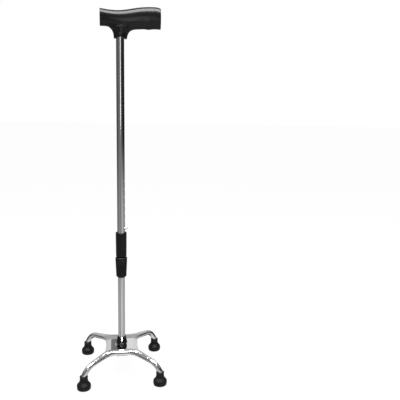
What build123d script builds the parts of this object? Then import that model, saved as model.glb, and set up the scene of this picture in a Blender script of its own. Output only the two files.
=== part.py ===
from build123d import *
import os

# Quad walking cane: T-handle shaft, telescoping height adjustment with a snap button and a
# lock nut, and a four-legged base of two bent tubes under a stamped saddle plate.
# Millimetres, +Z up. The origin is on the floor, on the axis of the shaft.
# The handle lies along X, and the rows of feet are in front (-Y) and behind (+Y).

# ---- driving dimensions -------------------------------------------------------------------
UPPER_OD = 19.4
UPPER_ID = 17.9
LOWER_OD = 17.7
LOWER_ID = 15.7
UPPER_BOTTOM = 300.0
UPPER_TOP = 886.0
LOWER_TOP = 416.0

HOLE_PITCH = 20.0
HOLE_COUNT = 7
HOLE_D = 6.6
BUTTON_D = 6.0
BUTTON_Z = 376.0
BUTTON_TIP_X = 16.2

FOOT_X = 92.0
FOOT_Y = 100.0
FOOT_HEIGHT = 35.0
FOOT_D = 34.0
FOOT_NECK_D = 19.6
SOCKET_FLOOR = 12.0
FOOT_WASHER_T = 1.5

LEG_D = 13.3
LEG_WALL = 1.5
LEG_MIDDLE_Y = 46.0
LEG_Z = 64.6
LEG_BEND = (33.0, LEG_MIDDLE_Y, LEG_Z)
LEG_SHOULDER = (79.5, 97.0, 57.5)
LEG_ANKLE_Z = 36.0
LEG_BEND_R = 35.0
LEG_SHOULDER_R = 28.0
LEG_ANKLE_R = 20.0

PLATE_T = 2.0
PLATE_TOP = 68.5
PLATE_FRONT_X = 47.0
PLATE_WAIST_X = 40.5
PLATE_REAR_X = 43.0
LEG_SHEET_Y = 58.0
COVER_CLEARANCE = 0.1
COVER_LIP_Z = 61.5
BOLT_D = 8.0

BOOT_D = 28.6
BOOT_TOP_D = 22.4
BOOT_HEIGHT = 22.0

SLEEVE_BOTTOM = 303.5
SLEEVE_TOP = 366.7
SLEEVE_TOP_D = 27.4
SLEEVE_LOW_D = 26.6
THREAD_D = 22.4
COLLET_TIP = 264.0
NUT_BOTTOM = 249.0
NUT_TOP = 301.5
NUT_D = 29.6
NUT_LOW_D = 25.8

GRIP_FRONT_X = -47.3
GRIP_REAR_X = 96.6
FRONT_SEAM_X = -43.0
REAR_SEAM_X = 91.5
STEM_BOTTOM = 837.5
STEM_X = 31.0
STEM_Y = 27.0
PIN_Z = 846.5
PIN_D = 4.0
RIVET_HEAD_D = 6.4
RIM_DIP = 3.0

os.makedirs("parts", exist_ok=True)


def ring(top, height, outer_d, inner_d):
    """A plain tube or washer on the shaft axis, hanging down from its top height."""
    with BuildPart() as made:
        with BuildSketch(Plane.XY.offset(top - height)):
            Circle(outer_d / 2)
            Circle(inner_d / 2, mode=Mode.SUBTRACT)
        extrude(amount=height)
    return made.part


def save(part, label):
    part.label = label
    export_step(part, f"parts/{label}.step")


# ---- handle -------------------------------------------------------------------------------
# Stations along the grip: place on X, underside, top and width across Y.
GRIP_STATIONS = (
    (GRIP_FRONT_X, 867.0, 903.2, 23.0),
    (-44.5, 865.2, 905.0, 26.0),
    (-36.0, 865.2, 904.3, 27.0),
    (-24.0, 863.2, 903.1, 28.0),
    (-8.0, 861.0, 902.4, 29.0),
    (10.0, 859.5, 904.2, 30.0),
    (30.0, 858.5, 907.9, 30.0),
    (48.6, 860.8, 911.4, 29.5),
    (66.5, 860.6, 912.9, 29.0),
    (80.0, 862.0, 913.4, 28.5),
    (94.0, 862.3, 911.6, 27.0),
    (GRIP_REAR_X, 864.8, 908.8, 24.0),
)
CORNER_SHARE = 0.42
GRIP_POCKET_W = 17.0
GRIP_POCKET_H = 24.0
GRIP_POCKET_R = 6.0
FRONT_POCKET_DEPTH = 18.0
REAR_POCKET_DEPTH = 52.0
CAP_SPIGOT = 8.0
CAP_CLEARANCE = 0.15
POCKET_Z = 886.0

with BuildPart() as grip_form:
    for x, low, high, width in GRIP_STATIONS:
        with BuildSketch(Plane.YZ.offset(x)):
            with Locations((0, (low + high) / 2)):
                RectangleRounded(width, high - low, CORNER_SHARE * width)
    loft()

# The stem collar round the shaft, arched up at the front and back of its lower rim.
STEM_FLARE_Z = 856.0
STEM_FLARE = 7.0
STEM_HALF_CHORD = 13.0
STEM_RIM_R = (STEM_HALF_CHORD**2 + RIM_DIP**2) / (2 * RIM_DIP)
with BuildPart() as stem_form:
    with BuildSketch(Plane.XY.offset(STEM_BOTTOM)):
        Ellipse(STEM_X / 2, STEM_Y / 2)
    with BuildSketch(Plane.XY.offset(STEM_FLARE_Z - 8)):
        Ellipse(STEM_X / 2 + 1.5, STEM_Y / 2 + 0.3)
    with BuildSketch(Plane.XY.offset(STEM_FLARE_Z + 6)):
        Ellipse(STEM_X / 2 + STEM_FLARE, STEM_Y / 2 + 0.6)
    loft()
    with Locations((0, 0, STEM_BOTTOM + RIM_DIP - STEM_RIM_R)):
        Cylinder(STEM_RIM_R, 2 * STEM_Y, rotation=(90, 0, 0), mode=Mode.SUBTRACT)

with BuildPart() as handle_grip:
    add(grip_form.part)
    add(stem_form.part)
    split(bisect_by=Plane.YZ.offset(FRONT_SEAM_X), keep=Keep.TOP)
    split(bisect_by=Plane.YZ.offset(REAR_SEAM_X), keep=Keep.BOTTOM)
    with BuildSketch(Plane.YZ.offset(FRONT_SEAM_X)):
        with Locations((0, POCKET_Z)):
            RectangleRounded(GRIP_POCKET_W, GRIP_POCKET_H, GRIP_POCKET_R)
    extrude(amount=FRONT_POCKET_DEPTH, mode=Mode.SUBTRACT)
    with BuildSketch(Plane.YZ.offset(REAR_SEAM_X)):
        with Locations((0, POCKET_Z)):
            RectangleRounded(GRIP_POCKET_W, GRIP_POCKET_H, GRIP_POCKET_R)
    extrude(amount=-REAR_POCKET_DEPTH, mode=Mode.SUBTRACT)
    with BuildSketch(Plane.XY.offset(STEM_BOTTOM)):
        Circle(UPPER_OD / 2)
    extrude(amount=UPPER_TOP - STEM_BOTTOM, mode=Mode.SUBTRACT)
    with Locations((0, 0, PIN_Z)):
        Cylinder(PIN_D / 2, STEM_Y, rotation=(90, 0, 0), mode=Mode.SUBTRACT)
    with Locations((0, STEM_Y, PIN_Z), (0, -STEM_Y, PIN_Z)):
        Cylinder(RIVET_HEAD_D / 2, STEM_Y, rotation=(90, 0, 0), mode=Mode.SUBTRACT)
save(handle_grip.part, "handle_grip")


def grip_cap(seam_x, inward, keep):
    """The end cap beyond one seam of the grip, with the spigot that plugs into its pocket."""
    with BuildPart() as cap:
        add(grip_form.part)
        split(bisect_by=Plane.YZ.offset(seam_x), keep=keep)
        with BuildSketch(Plane.YZ.offset(seam_x)):
            with Locations((0, POCKET_Z)):
                RectangleRounded(
                    GRIP_POCKET_W - 2 * CAP_CLEARANCE,
                    GRIP_POCKET_H - 2 * CAP_CLEARANCE,
                    GRIP_POCKET_R - CAP_CLEARANCE,
                )
        extrude(amount=inward * CAP_SPIGOT)
    return cap.part


save(grip_cap(FRONT_SEAM_X, 1, Keep.BOTTOM), "handle_front_cap")
save(grip_cap(REAR_SEAM_X, -1, Keep.TOP), "handle_rear_cap")

# Cross rivet through the stem and the tube, with a low domed head at each end.
RIVET_HEAD_T = 1.0
with BuildPart() as handle_rivet:
    with BuildSketch(Plane.XZ.offset(STEM_Y / 2)):
        with Locations((0, PIN_Z)):
            Circle(RIVET_HEAD_D / 2)
    extrude(amount=RIVET_HEAD_T)
    with BuildSketch(Plane.XZ.offset(-STEM_Y / 2)):
        with Locations((0, PIN_Z)):
            Circle(RIVET_HEAD_D / 2)
    extrude(amount=-RIVET_HEAD_T)
    with BuildSketch(Plane.XZ.offset(-STEM_Y / 2)):
        with Locations((0, PIN_Z)):
            Circle(PIN_D / 2)
    extrude(amount=STEM_Y)
    fillet(handle_rivet.faces().sort_by(Axis.Y)[0].edges(), RIVET_HEAD_T * 0.6)
    fillet(handle_rivet.faces().sort_by(Axis.Y)[-1].edges(), RIVET_HEAD_T * 0.6)
save(handle_rivet.part, "handle_rivet")

# Plastic plug that closes the top of the upper tube inside the grip.
PLUG_LENGTH = 22.0
PLUG_WALL = 3.0
with BuildPart() as shaft_plug:
    with BuildSketch(Plane.XY.offset(UPPER_TOP - PLUG_LENGTH)):
        Circle(UPPER_ID / 2)
    extrude(amount=PLUG_LENGTH)
    with BuildSketch(Plane.XY.offset(UPPER_TOP - PLUG_LENGTH)):
        Circle(UPPER_ID / 2 - PLUG_WALL)
    extrude(amount=PLUG_LENGTH - PLUG_WALL, mode=Mode.SUBTRACT)
    chamfer(shaft_plug.faces().sort_by(Axis.Z)[0].outer_wire().edges(), 0.8)
save(shaft_plug.part, "shaft_plug")

# ---- shaft tubes --------------------------------------------------------------------------
with BuildPart() as upper_tube:
    with BuildSketch(Plane.XY.offset(UPPER_BOTTOM)):
        Circle(UPPER_OD / 2)
        Circle(UPPER_ID / 2, mode=Mode.SUBTRACT)
    extrude(amount=UPPER_TOP - UPPER_BOTTOM)
    with BuildSketch(Plane.YZ):
        with Locations(*[(0, BUTTON_Z + n * HOLE_PITCH) for n in range(HOLE_COUNT)]):
            Circle(HOLE_D / 2)
    extrude(amount=UPPER_OD, mode=Mode.SUBTRACT)
    with Locations((0, 0, PIN_Z)):
        Cylinder(PIN_D / 2, 2 * UPPER_OD, rotation=(90, 0, 0), mode=Mode.SUBTRACT)
save(upper_tube.part, "upper_tube")

with BuildPart() as lower_tube:
    with BuildSketch(Plane.XY.offset(PLATE_TOP)):
        Circle(LOWER_OD / 2)
        Circle(LOWER_ID / 2, mode=Mode.SUBTRACT)
    extrude(amount=LOWER_TOP - PLATE_TOP)
    with BuildSketch(Plane.YZ):
        with Locations((0, BUTTON_Z)):
            Circle(HOLE_D / 2 - 0.1)
    extrude(amount=LOWER_OD, mode=Mode.SUBTRACT)
save(lower_tube.part, "lower_tube")

# Guide bush on the top end of the lower tube: a flange that runs in the upper tube.
BUSH_FLANGE_T = 5.0
BUSH_SPIGOT = 14.0
BUSH_BORE_D = 9.0
with BuildPart() as guide_bush:
    with BuildSketch(Plane.XY.offset(LOWER_TOP)):
        Circle(UPPER_ID / 2 - 0.05)
    extrude(amount=BUSH_FLANGE_T)
    with BuildSketch(Plane.XY.offset(LOWER_TOP - BUSH_SPIGOT)):
        Circle(LOWER_ID / 2)
    extrude(amount=BUSH_SPIGOT)
    with BuildSketch(Plane.XY.offset(LOWER_TOP - BUSH_SPIGOT)):
        Circle(BUSH_BORE_D / 2)
    extrude(amount=BUSH_SPIGOT + BUSH_FLANGE_T, mode=Mode.SUBTRACT)
    chamfer(guide_bush.faces().sort_by(Axis.Z)[-1].outer_wire().edges(), 0.6)
save(guide_bush.part, "guide_bush")

# ---- snap button and its spring -----------------------------------------------------------
FLANGE_D = 9.0
FLANGE_X = 5.0
FLANGE_T = 1.2
with BuildPart() as snap_button:
    with BuildSketch(Plane.YZ.offset(FLANGE_X)):
        with Locations((0, BUTTON_Z)):
            Circle(FLANGE_D / 2)
    extrude(amount=FLANGE_T)
    with BuildSketch(Plane.YZ.offset(FLANGE_X)):
        with Locations((0, BUTTON_Z)):
            Circle(BUTTON_D / 2)
    extrude(amount=BUTTON_TIP_X - FLANGE_X)
    fillet(snap_button.faces().sort_by(Axis.X)[-1].edges(), BUTTON_D / 2 - 0.2)
save(snap_button.part, "snap_button")

# V-shaped leaf spring: one arm on the far wall of the lower tube, one behind the button.
SPRING_T = 0.8
SPRING_W = 7.0
SPRING_TOP = BUTTON_Z + 7.0
SPRING_ARM_X = FLANGE_X - SPRING_T / 2
SPRING_WALL_X = -6.55
SPRING_BOTTOM = BUTTON_Z - 38.0
with BuildPart() as snap_spring:
    with BuildSketch(Plane.XZ):
        with BuildLine():
            FilletPolyline(
                (SPRING_ARM_X, SPRING_TOP),
                (SPRING_ARM_X, BUTTON_Z - 8),
                (1.5, SPRING_BOTTOM),
                (-5.0, SPRING_BOTTOM),
                (SPRING_WALL_X, BUTTON_Z - 12),
                (SPRING_WALL_X, SPRING_TOP),
                radius=2.2,
            )
        trace(line_width=SPRING_T)
    extrude(amount=SPRING_W / 2, both=True)
save(snap_spring.part, "snap_spring")

# ---- sleeve, ring and lock nut ------------------------------------------------------------
SLEEVE_HALF_CHORD = 12.0
SLEEVE_RIM_R = (SLEEVE_HALF_CHORD**2 + RIM_DIP**2) / (2 * RIM_DIP)
COLLET_D = 20.6
COLLET_BORE_D = LOWER_OD + 0.3
SLIT_W = 1.2
SLIT_COUNT = 4
SCREW_Z = 314.0
SCREW_D = 7.0
with BuildPart() as lock_sleeve:
    with BuildSketch(Plane.XZ):
        with BuildLine():
            Polyline(
                (COLLET_BORE_D / 2, COLLET_TIP),
                (COLLET_D / 2 - 0.6, COLLET_TIP),
                (COLLET_D / 2, COLLET_TIP + 5),
                (COLLET_D / 2, COLLET_TIP + 8),
                (THREAD_D / 2, COLLET_TIP + 9),
                (THREAD_D / 2, SLEEVE_BOTTOM - 1),
                (SLEEVE_LOW_D / 2 - 1, SLEEVE_BOTTOM),
                (SLEEVE_LOW_D / 2, SLEEVE_BOTTOM + 1.5),
                (SLEEVE_TOP_D / 2, SLEEVE_TOP - 14),
                (SLEEVE_TOP_D / 2, SLEEVE_TOP - 1.5),
                (SLEEVE_TOP_D / 2 - 1.2, SLEEVE_TOP),
                (UPPER_OD / 2, SLEEVE_TOP),
                (UPPER_OD / 2, UPPER_BOTTOM),
                (COLLET_BORE_D / 2, UPPER_BOTTOM),
                close=True,
            )
        make_face()
    revolve(axis=Axis.Z)
    with Locations((0, 0, SLEEVE_TOP - RIM_DIP + SLEEVE_RIM_R)):
        Cylinder(SLEEVE_RIM_R, 2 * SLEEVE_TOP_D, rotation=(90, 0, 0), mode=Mode.SUBTRACT)
    with BuildSketch(Plane.XY.offset(COLLET_TIP)):
        with PolarLocations(0, SLIT_COUNT // 2, angular_range=180):
            Rectangle(2 * THREAD_D, SLIT_W)
    extrude(amount=14, mode=Mode.SUBTRACT)
    with Locations((0, -SLEEVE_TOP_D / 2, SCREW_Z)):
        Cylinder(SCREW_D / 2, 2 * 3.0, rotation=(90, 0, 0), mode=Mode.SUBTRACT)
save(lock_sleeve.part, "lock_sleeve")

# Slotted grub screw that pins the sleeve to the upper tube.
SCREW_SEAT_Y = -SLEEVE_TOP_D / 2 + 3.0
SCREW_LENGTH = 2.2
with BuildPart() as sleeve_screw:
    with BuildSketch(Plane.XZ.offset(-SCREW_SEAT_Y)):
        with Locations((0, SCREW_Z)):
            Circle(SCREW_D / 2 - 0.1)
    extrude(amount=SCREW_LENGTH)
    with BuildSketch(Plane.XZ.offset(-SCREW_SEAT_Y + SCREW_LENGTH)):
        with Locations((0, SCREW_Z)):
            Rectangle(SCREW_D, 1.2)
    extrude(amount=-0.9, mode=Mode.SUBTRACT)
save(sleeve_screw.part, "sleeve_screw")

# Tapered ring that the nut drives over the collet fingers to grip the lower tube.
RING_TOP = COLLET_TIP - 0.4
with BuildPart() as lock_ring:
    with BuildSketch(Plane.XZ):
        with BuildLine():
            Polyline(
                (LOWER_OD / 2 + 0.15, RING_TOP - 6),
                (COLLET_D / 2 - 0.3, RING_TOP - 6),
                (COLLET_D / 2 + 0.3, RING_TOP - 4),
                (COLLET_D / 2 + 0.3, RING_TOP),
                (LOWER_OD / 2 + 0.15, RING_TOP),
                close=True,
            )
        make_face()
    revolve(axis=Axis.Z)
save(lock_ring.part, "lock_ring")

# Lock nut: a tapered knob, narrower at the bottom.
NUT_BORE_D = THREAD_D + 0.5
NUT_SEAT_Z = RING_TOP - 6.2
with BuildPart() as lock_nut:
    with BuildSketch(Plane.XZ):
        with BuildLine():
            Polyline(
                (LOWER_OD / 2 + 0.4, NUT_BOTTOM),
                (NUT_LOW_D / 2 - 3, NUT_BOTTOM),
                (NUT_LOW_D / 2 - 1, NUT_BOTTOM + 1),
                (NUT_LOW_D / 2, NUT_BOTTOM + 5),
                (NUT_D / 2, NUT_TOP - 5),
                (NUT_D / 2 - 0.6, NUT_TOP - 1.5),
                (NUT_D / 2 - 2.2, NUT_TOP),
                (NUT_BORE_D / 2, NUT_TOP),
                (NUT_BORE_D / 2, NUT_SEAT_Z),
                (LOWER_OD / 2 + 0.4, NUT_SEAT_Z),
                close=True,
            )
        make_face()
    revolve(axis=Axis.Z)
save(lock_nut.part, "lock_nut")

# ---- base: saddle plate and legs ----------------------------------------------------------
TUBE_END_Z = SOCKET_FLOOR + FOOT_WASHER_T


def leg_points(side_y):
    """Corners of one leg tube's centre line, from its left foot to its right foot."""
    half = [
        (FOOT_X, FOOT_Y, TUBE_END_Z),
        (FOOT_X, FOOT_Y, LEG_ANKLE_Z),
        LEG_SHOULDER,
        LEG_BEND,
    ]
    right = [(x, side_y * y, z) for x, y, z in half]
    left = [(-x, side_y * y, z) for x, y, z in half]
    return left + right[::-1]


LEG_RADII = [LEG_ANKLE_R, LEG_SHOULDER_R, LEG_BEND_R, LEG_BEND_R, LEG_SHOULDER_R, LEG_ANKLE_R]


def leg_tube(side_y, outer_d, inner_d):
    """A round tube, or a rod when it has no inner diameter, bent along the leg's centre line."""
    with BuildPart() as tube:
        with BuildLine() as centre_line:
            FilletPolyline(*leg_points(side_y), radius=LEG_RADII)
        with BuildSketch(centre_line.line ^ 0):
            Circle(outer_d / 2)
            if inner_d:
                Circle(inner_d / 2, mode=Mode.SUBTRACT)
        sweep()
    return tube.part


front_leg_tube = leg_tube(-1, LEG_D, LEG_D - 2 * LEG_WALL)
rear_leg_tube = leg_tube(1, LEG_D, LEG_D - 2 * LEG_WALL)
save(front_leg_tube, "front_leg_tube")
save(rear_leg_tube, "rear_leg_tube")

# Stamped saddle plate: a flat sheet with hollowed sides, whose front and rear edges are
# rolled over the leg tubes and follow them out to the corners.
COVER_SHARE = 0.35


def rolled_edge(side_y):
    """The channel rolled over one leg tube, out to a little past the plate's corners."""
    bend = Vector(LEG_BEND[0], side_y * LEG_BEND[1], LEG_BEND[2])
    shoulder = Vector(LEG_SHOULDER[0], side_y * LEG_SHOULDER[1], LEG_SHOULDER[2])
    end = bend + (shoulder - bend) * COVER_SHARE
    inner_r = LEG_D / 2 + COVER_CLEARANCE
    with BuildPart() as edge:
        with BuildLine() as centre_line:
            FilletPolyline(
                (-end.X, end.Y, end.Z),
                (-bend.X, bend.Y, bend.Z),
                (bend.X, bend.Y, bend.Z),
                (end.X, end.Y, end.Z),
                radius=LEG_BEND_R,
            )
        with BuildSketch(centre_line.line ^ 0):
            Circle(inner_r + PLATE_T)
            Circle(inner_r, mode=Mode.SUBTRACT)
        sweep()
        split(bisect_by=Plane.XY.offset(COVER_LIP_Z), keep=Keep.TOP)
    return edge.part


front_edge = rolled_edge(-1)
rear_edge = rolled_edge(1)

with BuildPart() as saddle_plate:
    with BuildSketch(Plane.XY.offset(PLATE_TOP - PLATE_T)):
        with BuildLine():
            Polyline(
                (PLATE_FRONT_X, -LEG_SHEET_Y),
                (LEG_BEND[0] - 4, -LEG_MIDDLE_Y),
                (-LEG_BEND[0] + 4, -LEG_MIDDLE_Y),
                (-PLATE_FRONT_X, -LEG_SHEET_Y),
            )
            ThreePointArc(
                (-PLATE_FRONT_X, -LEG_SHEET_Y),
                (-PLATE_WAIST_X, 0),
                (-PLATE_REAR_X, LEG_SHEET_Y),
            )
            Polyline(
                (-PLATE_REAR_X, LEG_SHEET_Y),
                (-LEG_BEND[0] + 4, LEG_MIDDLE_Y),
                (LEG_BEND[0] - 4, LEG_MIDDLE_Y),
                (PLATE_REAR_X, LEG_SHEET_Y),
            )
            ThreePointArc(
                (PLATE_REAR_X, LEG_SHEET_Y),
                (PLATE_WAIST_X, 0),
                (PLATE_FRONT_X, -LEG_SHEET_Y),
            )
        make_face()
    extrude(amount=PLATE_T)
    add(front_edge)
    add(rear_edge)
    add(leg_tube(-1, LEG_D + 2 * COVER_CLEARANCE, 0), mode=Mode.SUBTRACT)
    add(leg_tube(1, LEG_D + 2 * COVER_CLEARANCE, 0), mode=Mode.SUBTRACT)
    with BuildSketch(Plane.XY.offset(PLATE_TOP - PLATE_T)):
        Circle(BOLT_D / 2 + 0.3)
    extrude(amount=PLATE_T, mode=Mode.SUBTRACT)
save(saddle_plate.part, "saddle_plate")

# Weld beads that join the lips of the rolled edges to the leg tubes, underneath.
BEAD_D = 2.6
BEAD_LENGTH = 26.0
BEAD_Z = COVER_LIP_Z - 0.7
BEAD_R = LEG_D / 2 + BEAD_D / 2 - 0.2
BEAD_SPREAD = (BEAD_R**2 - (LEG_Z - BEAD_Z) ** 2) ** 0.5
BEAD_LINES = [side * (LEG_MIDDLE_Y + offset) for side in (-1, 1) for offset in (-BEAD_SPREAD, BEAD_SPREAD)]
with BuildPart() as weld_beads:
    for bead_y in BEAD_LINES:
        with Locations((0, bead_y, BEAD_Z)):
            Cylinder(BEAD_D / 2, BEAD_LENGTH, rotation=(0, 90, 0))
    add(saddle_plate.part, mode=Mode.SUBTRACT)
    add(leg_tube(-1, LEG_D, 0), mode=Mode.SUBTRACT)
    add(leg_tube(1, LEG_D, 0), mode=Mode.SUBTRACT)
save(weld_beads.part, "weld_beads")

# ---- base: fixing of the shaft ------------------------------------------------------------
FOOT_PLUG_HEIGHT = 26.0
BOLT_HEAD_ACROSS = 13.0
BOLT_HEAD_T = 5.3
WASHER_D = 17.0
WASHER_T = 1.6
SPRING_WASHER_D = 13.0
SPRING_WASHER_T = 2.0
BOLT_INTO_PLUG = 18.0

with BuildPart() as tube_foot_plug:
    with BuildSketch(Plane.XY.offset(PLATE_TOP)):
        Circle(LOWER_ID / 2)
        Circle(BOLT_D / 2, mode=Mode.SUBTRACT)
    extrude(amount=FOOT_PLUG_HEIGHT)
    chamfer(tube_foot_plug.faces().sort_by(Axis.Z)[-1].outer_wire().edges(), 1.0)
save(tube_foot_plug.part, "tube_foot_plug")

WASHER_TOP = PLATE_TOP - PLATE_T
save(ring(WASHER_TOP, WASHER_T, WASHER_D, BOLT_D + 0.4), "base_washer")

SPRING_WASHER_TOP = WASHER_TOP - WASHER_T
with BuildPart() as spring_washer:
    add(ring(SPRING_WASHER_TOP, SPRING_WASHER_T, SPRING_WASHER_D, BOLT_D + 0.3))
    with Locations((0, SPRING_WASHER_D / 2, SPRING_WASHER_TOP - SPRING_WASHER_T / 2)):
        Box(0.8, SPRING_WASHER_D, 3 * SPRING_WASHER_T, rotation=(0, 20, 0), mode=Mode.SUBTRACT)
save(spring_washer.part, "spring_washer")

HEAD_TOP = SPRING_WASHER_TOP - SPRING_WASHER_T
with BuildPart() as base_bolt:
    with BuildSketch(Plane.XY.offset(HEAD_TOP - BOLT_HEAD_T)):
        RegularPolygon(BOLT_HEAD_ACROSS / 2, 6, major_radius=False)
    extrude(amount=BOLT_HEAD_T)
    with BuildSketch(Plane.XY.offset(HEAD_TOP)):
        Circle(BOLT_D / 2)
    extrude(amount=PLATE_TOP + BOLT_INTO_PLUG - HEAD_TOP)
    chamfer(base_bolt.faces().sort_by(Axis.Z)[-1].edges(), 0.8)
save(base_bolt.part, "base_bolt")

# Conical rubber boot round the foot of the shaft.
BOOT_SKIRT = 5.0
with BuildPart() as base_boot:
    with BuildSketch(Plane.XZ):
        with BuildLine():
            Polyline(
                (LOWER_OD / 2, PLATE_TOP),
                (BOOT_D / 2, PLATE_TOP),
                (BOOT_D / 2, PLATE_TOP + BOOT_SKIRT),
                (BOOT_TOP_D / 2, PLATE_TOP + BOOT_HEIGHT - 1.2),
                (BOOT_TOP_D / 2 - 1.2, PLATE_TOP + BOOT_HEIGHT),
                (LOWER_OD / 2, PLATE_TOP + BOOT_HEIGHT),
                close=True,
            )
        make_face()
    revolve(axis=Axis.Z)
save(base_boot.part, "base_boot")

# ---- feet ---------------------------------------------------------------------------------
FOOT_WIDEST_Z = 10.5
FOOT_FLAT_R = 12.0
NECK_Z = 26.0
MOUTH_R = 7.9
MOUTH_DEPTH = 6.0


def rubber_foot(x, y):
    """A bell-shaped rubber ferrule with a blind socket for the end of a leg tube."""
    with BuildPart() as foot:
        with BuildSketch(Plane.XZ):
            with BuildLine():
                Line((0, 0), (FOOT_FLAT_R, 0))
                Spline((FOOT_FLAT_R, 0), (FOOT_D / 2, FOOT_WIDEST_Z), tangents=((1, 0), (0, 1)))
                Spline((FOOT_D / 2, FOOT_WIDEST_Z), (FOOT_NECK_D / 2, NECK_Z), tangents=((0, 1), (0, 1)))
                Polyline(
                    (FOOT_NECK_D / 2, NECK_Z),
                    (FOOT_NECK_D / 2, FOOT_HEIGHT - 0.8),
                    (FOOT_NECK_D / 2 - 0.8, FOOT_HEIGHT),
                    (MOUTH_R, FOOT_HEIGHT),
                    (LEG_D / 2, FOOT_HEIGHT - MOUTH_DEPTH),
                    (LEG_D / 2, SOCKET_FLOOR),
                    (0, SOCKET_FLOOR),
                    (0, 0),
                )
            make_face()
        revolve(axis=Axis.Z)
    return foot.part.moved(Location((x, y, 0)))


for name, foot_x, foot_y in (
    ("foot_front_left", -FOOT_X, -FOOT_Y),
    ("foot_front_right", FOOT_X, -FOOT_Y),
    ("foot_back_left", -FOOT_X, FOOT_Y),
    ("foot_back_right", FOOT_X, FOOT_Y),
):
    save(rubber_foot(foot_x, foot_y), name)

# Steel discs at the bottom of the sockets, under the ends of the tubes.
with BuildPart() as foot_washers:
    with BuildSketch(Plane.XY.offset(SOCKET_FLOOR)):
        with GridLocations(2 * FOOT_X, 2 * FOOT_Y, 2, 2):
            Circle(LEG_D / 2)
    extrude(amount=FOOT_WASHER_T)
save(foot_washers.part, "foot_washers")
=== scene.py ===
import math

import bmesh
import bpy
import numpy as np
from mathutils import Matrix, Vector


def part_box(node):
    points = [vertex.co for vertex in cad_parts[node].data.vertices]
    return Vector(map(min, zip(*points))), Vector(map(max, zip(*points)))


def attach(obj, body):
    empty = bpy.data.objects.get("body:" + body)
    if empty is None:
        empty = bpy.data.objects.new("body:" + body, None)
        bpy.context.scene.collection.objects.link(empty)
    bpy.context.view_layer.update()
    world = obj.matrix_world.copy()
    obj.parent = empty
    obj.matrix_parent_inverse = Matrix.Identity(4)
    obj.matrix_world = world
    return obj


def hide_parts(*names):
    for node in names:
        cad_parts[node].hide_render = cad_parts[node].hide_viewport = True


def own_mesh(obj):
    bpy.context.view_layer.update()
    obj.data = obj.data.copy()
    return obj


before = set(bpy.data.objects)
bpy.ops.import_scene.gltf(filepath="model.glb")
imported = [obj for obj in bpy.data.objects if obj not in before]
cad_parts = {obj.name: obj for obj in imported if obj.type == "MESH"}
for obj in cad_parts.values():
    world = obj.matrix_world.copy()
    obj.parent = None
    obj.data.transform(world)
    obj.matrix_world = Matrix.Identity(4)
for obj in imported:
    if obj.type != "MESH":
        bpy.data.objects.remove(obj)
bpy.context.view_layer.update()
scene = bpy.context.scene

# ---- camera --------------------------------------------------------------------------------
# The camera stands in front of the cane, at two thirds of its height, and looks a little down
# and past its side. Metres and radians; the lens and the sensor are in millimetres.
CAMERA_DISTANCE = 1.3275
CAMERA_HEIGHT = 0.6597
CAMERA_AZIMUTH = -0.0099
CAMERA_PITCH = 0.1571
CAMERA_YAW = 0.1493
CAMERA_ROLL = 0.0178
CAMERA_LENS = 47.89
CAMERA_SENSOR = 36.0


def make_camera():
    data = bpy.data.cameras.new("camera")
    data.sensor_width = CAMERA_SENSOR
    data.lens = CAMERA_LENS
    camera = bpy.data.objects.new("camera", data)
    scene.collection.objects.link(camera)
    heading = CAMERA_AZIMUTH - CAMERA_YAW
    right = Vector((math.cos(heading), math.sin(heading), 0))
    ahead = Vector((-math.sin(heading), math.cos(heading), 0))
    up_axis = Vector((0, 0, 1))
    forward = math.cos(CAMERA_PITCH) * ahead - math.sin(CAMERA_PITCH) * up_axis
    up = math.cos(CAMERA_PITCH) * up_axis + math.sin(CAMERA_PITCH) * ahead
    side = math.cos(CAMERA_ROLL) * right + math.sin(CAMERA_ROLL) * up
    top = -math.sin(CAMERA_ROLL) * right + math.cos(CAMERA_ROLL) * up
    camera.matrix_world = Matrix((
        (side.x, top.x, -forward.x, math.sin(CAMERA_AZIMUTH) * CAMERA_DISTANCE),
        (side.y, top.y, -forward.y, -math.cos(CAMERA_AZIMUTH) * CAMERA_DISTANCE),
        (side.z, top.z, -forward.z, CAMERA_HEIGHT),
        (0, 0, 0, 1),
    ))
    scene.camera = camera


make_camera()

# ---- shader nodes --------------------------------------------------------------------------


def set_input(tree, socket, value):
    """Gives a socket a value, or links it to another node's output."""
    if isinstance(value, bpy.types.NodeSocket):
        tree.links.new(value, socket)
    else:
        socket.default_value = value


def node(tree, kind, **inputs):
    """A shader node with its inputs set by name."""
    made = tree.nodes.new(kind)
    for name, value in inputs.items():
        set_input(tree, made.inputs[name], value)
    return made


def math_node(tree, operation, *values):
    made = tree.nodes.new("ShaderNodeMath")
    made.operation = operation
    for socket, value in zip(made.inputs, values):
        set_input(tree, socket, value)
    return made.outputs[0]


def mapped(tree, value, low, high, to_low=0.0, to_high=1.0, smooth=False):
    """Carries a value that runs from low to high over to the range from to_low to to_high."""
    made = tree.nodes.new("ShaderNodeMapRange")
    made.interpolation_type = "SMOOTHSTEP" if smooth else "LINEAR"
    tree.links.new(value, made.inputs["Value"])
    limits = {"From Min": low, "From Max": high, "To Min": to_low, "To Max": to_high}
    for name, number in limits.items():
        made.inputs[name].default_value = number
    return made.outputs["Result"]


def grey(value):
    return (value, value, value, 1)


def mix_colors(tree, factor, first, second):
    """The first colour where factor is 0 and the second where it is 1."""
    made = tree.nodes.new("ShaderNodeMix")
    made.data_type = "RGBA"
    tree.links.new(factor, made.inputs["Factor"])
    set_input(tree, made.inputs["A"], first)
    set_input(tree, made.inputs["B"], second)
    return made.outputs["Result"]


# ---- studio --------------------------------------------------------------------------------
FLOOR_HALF = 40.0
FLOOR_WHITE = 0.02
FLOOR_GLOW = 0.97
FLOOR_ROUGH = 0.9
SURROUND = 1.0
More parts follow.
